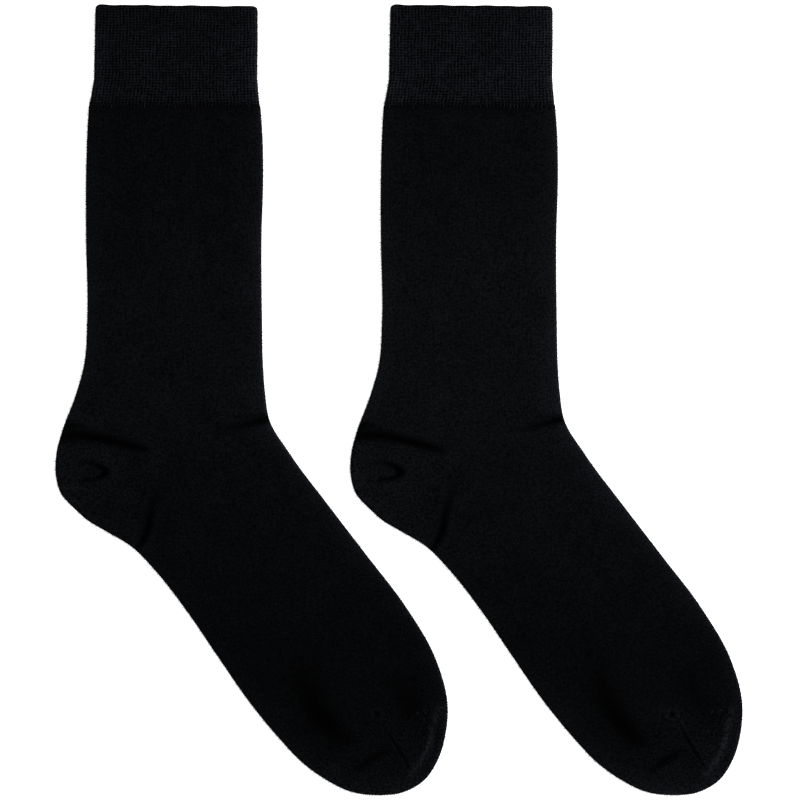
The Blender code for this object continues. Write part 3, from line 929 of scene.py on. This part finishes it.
def knit_material(name, colour, sheen, wale, course, contrast, grain, bump):
    """A dull knit whose Vs follow the piece's own map, on yarn that is uneven from place to place.

    lightness = tone * (1 + contrast (stitch - 0.5)) * (1 + grain (fuzz - 0.5)) * (0.65 + 0.7 blotch), where
    the grain takes away 95% at most.
    """
    material, tree = new_material(name)
    stitch = stitch_pattern(tree, wale, course)
    fuzz, blotch = speckle(tree, FUZZ_SIZE, 0.7), speckle(tree, BLOTCH_SIZE, 0.55)
    # the tone attribute brings each point's painted light, shade, highlights and sheen with the yarn's own
    # tone
    tone = add_node(tree, "ShaderNodeAttribute", {"attribute_name": "tone"})
    knitted = calculate(tree, "MULTIPLY", tone.outputs["Fac"],
                        calculate(tree, "MULTIPLY_ADD", stitch, contrast, 1 - contrast / 2))
    grainy = calculate(tree, "MAXIMUM", calculate(tree, "MULTIPLY_ADD", fuzz, grain, 1 - grain / 2), 0.05)
    lightness = calculate(tree, "MULTIPLY", calculate(tree, "MULTIPLY", knitted, grainy),
                          calculate(tree, "MULTIPLY_ADD", blotch, 0.7, 0.65))
    height = calculate(tree, "MULTIPLY_ADD", fuzz, 0.5, stitch)
    dyed_yarn(tree, colour, lightness, (height, 0.7, bump),
              {"Roughness": 0.92, "Specular IOR Level": 0.01, "Sheen Weight": sheen,
               "Sheen Roughness": 0.4, "Sheen Tint": (0.85, 0.9, 1.0, 1.0)})
    return material


PLAIN_KNIT = knit_material("Plain knit cotton, dyed black", "#08090b", sheen=0.006, wale=WALE,
                           course=COURSE_PLAIN, contrast=0.9, grain=4.6, bump=0.3)
PLATED_KNIT = knit_material("Plated knit cotton and nylon, dyed black", "#08090b", sheen=0.006, wale=WALE,
                            course=COURSE_PLAIN, contrast=0.9, grain=5.8, bump=0.3)
RIB_KNIT = knit_material("Elastic rib knit, dyed black", "#0f1013", sheen=0.008, wale=RIB / 2,
                         course=COURSE / 2, contrast=0.4, grain=4.0, bump=0.12)
print("materials:", [m.name for m in (PLAIN_KNIT, PLATED_KNIT, RIB_KNIT)])

# %% [markdown]
# ## Looping yarn
#
# The yarn of the looping, the closing stitches and the fibre ends is spun from two plies and dyed with the
# sock. Twisting makes slanting bands on it, which are drawn as a wave on the diagonal of the piece's space.
# It is a little shinier than the knit, because its fibres lie along it.

# %% The yarn
PLY_SPACING = 0.403            # between two bands
WAVE_RATE = 10 * 3 ** 0.5      # radians of a diagonal wave for each unit of its scaled diagonal


def yarn_material(name, colour):
    """A matt spun yarn: two plies twisted together, drawn as slanting bands."""
    material, tree = new_material(name)
    spot = add_node(tree, "ShaderNodeTexCoord")
    plies = add_node(tree, "ShaderNodeTexWave", {"bands_direction": "DIAGONAL"},
                     {"Scale": 2 * pi / (WAVE_RATE * PLY_SPACING * MM), "Distortion": 1.5},
                     {"Vector": spot.outputs["Object"]})
    # the tone attribute: random per strand, and painted sheen on the nap's tufts
    tone = add_node(tree, "ShaderNodeAttribute", {"attribute_name": "tone"})
    lightness = calculate(tree, "MULTIPLY", tone.outputs["Fac"],
                          calculate(tree, "MULTIPLY_ADD", plies.outputs["Fac"], 0.6, 0.7))
    dyed_yarn(tree, colour, lightness, (plies.outputs["Fac"], 0.6, 0.1),
              {"Roughness": 0.85, "Specular IOR Level": 0.05, "Sheen Weight": 0.008, "Sheen Roughness": 0.4})
    return material


YARN = yarn_material("Twisted looping yarn, dyed black", "#0c0d10")
print("material:", YARN.name)

# %% [markdown]
# ## How light the yarn is drawn, with painted light and shade
#
# Black cloth isn't equally black all over, and here its tone holds painted light too. It is lighter on the
# leg and darker along the foot, as painted light falloff, with a painted shadow at the cuff's foot. A crease
# gets painted shade, a ridge a painted highlight, and a fold painted sheen, most on the front fold, which
# faces the lamp. A few patches are drawn lighter. This is worked out for every point and kept in the mesh,
# so it stays on the cloth from any side.

# %% Tone of each point
ToneRow = namedtuple("ToneRow", "y tone")
# painted light falloff along the sock: lighter on the leg, darker along the foot; the dip at y 187.4 is a
# painted shadow under the cuff's step
TONE_ROWS = (
    ToneRow(-180.0, 0.93), ToneRow(-165.0, 0.74), ToneRow(-140.0, 0.61), ToneRow(-100.0, 0.54),
    ToneRow(-50.0, 0.73), ToneRow(-20.0, 0.84), ToneRow(0.0, 0.84), ToneRow(30.0, 1.01), ToneRow(90.0, 1.02),
    ToneRow(140.0, 0.83), ToneRow(180.0, 0.75), ToneRow(185.0, 0.67), ToneRow(187.4, 0.42),
    ToneRow(190.5, 0.76), ToneRow(242.0, 0.67),
)
TONE_LIMITS = (0.08, 3.0)      # of what a crease's painted shade leaves, and of what a ridge's painted highlight makes
Patch = namedtuple("Patch", "x y more wide")
PATCHES = (                                                 # where the cloth is drawn lighter
    Patch(-36.0, -8.0, 0.36, 22.0),
    Patch(123.5, -138.4, 0.45, 3.2),
    Patch(113.0, -133.0, 0.30, 2.4),
)
CREASE_SHADE = 0.74            # share of the tone that a crease 1 mm deep takes away, as painted shade
RIDGE_LIGHT = 1.4              # share that a ridge 1 mm high adds, as a painted highlight
FOLD_PAINTED_SHEEN = 1.7               # painted sheen: how much lighter the outermost yarn of a fold is drawn
PAINTED_SHEEN_WIDTH = 1.7
BACK_FOLD_PAINTED_LIGHT = 0.34               # painted light: how much lighter the soft zone beside the back fold is drawn
FRONT_FOLD_PAINTED_LIGHT = 0.88              # painted light on the front fold, which faces the lamp, is stronger
FOLD_PAINTED_LIGHT_WIDTH = 7.5
HOLE_PAINTED_SHADE = 0.06               # painted shade: the cuff's yarn in the middle of a hole
THREAD_PAINTED_HIGHLIGHT = 2.0              # painted highlight: how much lighter it is on a thread
NET_CURVE = 3.7                # high, so that only the tops of the threads get the painted highlight


def tone_with_painted_light(points, dip, fold_distance, front):
    """The tone along the sock, with painted light falloff and a painted shadow at the cuff's foot, made less
    in a crease as painted shade and more on a ridge as a painted highlight, on a lighter patch, or at a fold
    as painted sheen and light.

    fold_distance is measured in the cloth, from the outermost line of the nearest fold, and front says how
    much that fold is the front one, from 0 to 1. All that a patch or a fold adds is a bell curve.
    """
    x, y = points[..., 0], points[..., 1]
    along = np.interp(y, [row.y for row in TONE_ROWS], [row.tone for row in TONE_ROWS])
    for patch in PATCHES:
        away = np.hypot(x - patch.x, y - patch.y)
        along = along * (1 + patch.more * np.exp(-(away / patch.wide) ** 2))
    fold_painted_light = BACK_FOLD_PAINTED_LIGHT + (FRONT_FOLD_PAINTED_LIGHT - BACK_FOLD_PAINTED_LIGHT) * front
    fold = (1 + FOLD_PAINTED_SHEEN * np.exp(-(fold_distance / PAINTED_SHEEN_WIDTH) ** 2)
            + fold_painted_light * np.exp(-(fold_distance / FOLD_PAINTED_LIGHT_WIDTH) ** 2))
    return along * fold * np.clip(1 - np.where(dip > 0, CREASE_SHADE, RIDGE_LIGHT) * dip, *TONE_LIMITS)


def net_painted_shade_and_highlight(net):
    """The cuff's net, from 0 in a hole to 1 on a thread, drawn as painted shade in the holes and a painted
    highlight on the threads: hole + thread * net^curve.
    """
    return HOLE_PAINTED_SHADE + THREAD_PAINTED_HIGHLIGHT * net ** NET_CURVE


def ring_fold_distance(uv, cells):
    """Distance round a ring from the nearer of its two folds, and 1 where that is the front one."""
    upper_cells, lower_cells, fold_cells = cells
    u = uv[0, :, 0]
    back = 2 * lower_cells + fold_cells // 2
    folds = u[[back, back + 2 * upper_cells + fold_cells]]
    away = np.abs(u[:-1, None] - folds)
    away = np.minimum(away, u[-1] - away)
    return away.min(axis=1), away.argmin(axis=1)


def ray_fold_distance(points):
    """Distance along a ray from its fold, which is in the middle of it."""
    steps = np.linalg.norm(np.diff(points, axis=1), axis=2)
    run = np.concatenate([np.zeros((len(points), 1)), np.cumsum(steps, axis=1)], axis=1)
    return np.abs(run - run[:, [run.shape[1] // 2]])


tones = [row.tone for row in TONE_ROWS]
print("tone along the sock: from", min(tones), "to", max(tones))

# %% [markdown]
# ## Putting a sock together
#
# Each piece takes its node's place, rides on the one body, and says which finish it is.

# %% Pieces
MAP_ROW = TUBE_ROWS // 4       # the ring of a tube that u is measured on


def piece(name, mesh, material, nodes=()):
    """A finished piece at the origin, riding on the one body, in place of its nodes."""
    obj = bpy.data.objects.new(name, mesh)
    bpy.context.scene.collection.objects.link(obj)
    mesh.materials.append(material)
    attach(obj, "root")
    if nodes:
        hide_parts(*nodes)
    return obj


def cloth_piece(name, node, points, uv, tone, closed, material):
    """A sheet of cloth, laid flat, in place of one node."""
    obj = piece(name, skin(name, points, uv, tone, closed, closed), material, (node,))
    return obj


def add_wall(obj, thickness):
    """Gives an open pocket its wall, on the inside."""
    wall = obj.modifiers.new("Wall", "SOLIDIFY")
    wall.thickness = thickness * MM
    wall.offset = -1
    wall.use_even_offset = True


def build_sock(side):
    """All pieces of one sock."""
    place = ORIGINS[side]
    for name, flat in (("leg", leg_flat), ("foot", foot_flat)):
        points, dip = laid_heights(flat, (np.arange(len(flat)) >= TUBE_ROWS)[:, None])
        uv = knit_uv(flat, flat[MAP_ROW])
        tone = tone_with_painted_light(points, dip, *ring_fold_distance(uv, TUBE_CELLS))
        cloth_piece(f"{side}_{name}_cloth", f"{side}_{name}", points + place, uv, tone, True,
                    PLAIN_KNIT)
    for name, flat, uv, front in (("heel", heel_flat, heel_uv, 0.0), ("toe", toe_flat, toe_uv, 1.0)):
        points, dip = laid_heights(flat)
        tone = tone_with_painted_light(points, dip, ray_fold_distance(flat), front * np.linspace(0, 1, len(flat))[:, None])
        obj = cloth_piece(f"{side}_{name}_cloth", f"{side}_{name}", points + place, uv, tone, False,
                          PLATED_KNIT)
        add_wall(obj, TURNED_WALL)
    tone = net_painted_shade_and_highlight(cuff_net) * tone_with_painted_light(cuff_grid, 0.0, *ring_fold_distance(cuff_uv, CUFF_CELLS))
    cloth_piece(f"{side}_cuff_cloth", f"{side}_cuff", cuff_grid + place, cuff_uv, tone, True,
                RIB_KNIT)
    piece(f"{side}_looping_strands", looping_strands(f"{side}_looping", place), YARN)
    piece(f"{side}_closing_strands", closing_strands(f"{side}_closing", place), YARN)
    piece(f"{side}_nap", nap_strands(f"{side}_nap", place), YARN)


# %% Both socks
for sock_side in SIDES:
    build_sock(sock_side)

# %% [markdown]
# ## Floor, light and camera
#
# The floor is a plain white sheet. Soft light comes from all round, with one broad lamp a little to the
# right, so that folds on that side catch it first. The camera looks straight down through a long lens.

# %% Floor
FLOOR_HALF = 3.0               # metres, here and below
FLOOR_DROP = 0.0002            # below the cloth, so that the two faces don't meet
FLOOR_GLOW = 0.8               # a little light of its own, as from a lit sweep, which keeps shadows weak
corners = [(x * FLOOR_HALF, y * FLOOR_HALF, -FLOOR_DROP) for x, y in ((-1, -1), (1, -1), (1, 1), (-1, 1))]
floor_mesh = bpy.data.meshes.new("floor")
floor_mesh.from_pydata(corners, [], [(0, 1, 2, 3)])
floor = bpy.data.objects.new("floor", floor_mesh)
bpy.context.scene.collection.objects.link(floor)
white = bpy.data.materials.new("White paper sweep")
white.use_nodes = True
paper = white.node_tree.nodes["Principled BSDF"]
paper.inputs["Base Color"].default_value = linear("#f7f7f7")
paper.inputs["Roughness"].default_value = 0.9
paper.inputs["Emission Color"].default_value = (1, 1, 1, 1)
paper.inputs["Emission Strength"].default_value = FLOOR_GLOW
floor_mesh.materials.append(white)
print("floor:", 2 * FLOOR_HALF, "m wide")

# %% Light
SKY_STRENGTH = 0.45
LAMP_SIZE = (0.7, 0.9)
LAMP_PLACE = (0.85, 0.15, 0.65)
LAMP_TURN = (-0.14, 0.92, 0.0)                              # radians, which point it at the socks
LAMP_POWER = 17.0
world = bpy.data.worlds.new("Soft studio")
world.use_nodes = True
world.node_tree.nodes["Background"].inputs["Color"].default_value = (1, 1, 1, 1)
world.node_tree.nodes["Background"].inputs["Strength"].default_value = SKY_STRENGTH
bpy.context.scene.world = world

lamp_data = bpy.data.lights.new("Broad lamp", "AREA")
lamp_data.shape = "RECTANGLE"
lamp_data.size, lamp_data.size_y = LAMP_SIZE
lamp_data.energy = LAMP_POWER
lamp = bpy.data.objects.new("Broad lamp", lamp_data)
lamp.location = LAMP_PLACE
lamp.rotation_euler = LAMP_TURN
bpy.context.scene.collection.objects.link(lamp)
print("lamp:", LAMP_POWER, "W at", LAMP_PLACE)

# %% Camera
VIEW_WIDTH = 0.424             # what the picture spans on the floor
VIEW_MIDDLE = (0.00058, -0.00016)                           # the pair lies a hair left of the middle
LENS = 100.0                   # millimetres, as is the sensor
SENSOR = 36.0
camera_data = bpy.data.cameras.new("Camera")
camera_data.lens = LENS
camera_data.sensor_width = SENSOR
camera = bpy.data.objects.new("Camera", camera_data)
camera.location = (*VIEW_MIDDLE, VIEW_WIDTH * LENS / SENSOR + LAID_HEIGHT * MM)
bpy.context.scene.collection.objects.link(camera)
bpy.context.scene.camera = camera
bpy.context.scene.view_settings.view_transform = "Standard"
bpy.context.scene.view_settings.look = "None"
print("camera:", tuple(camera.location))
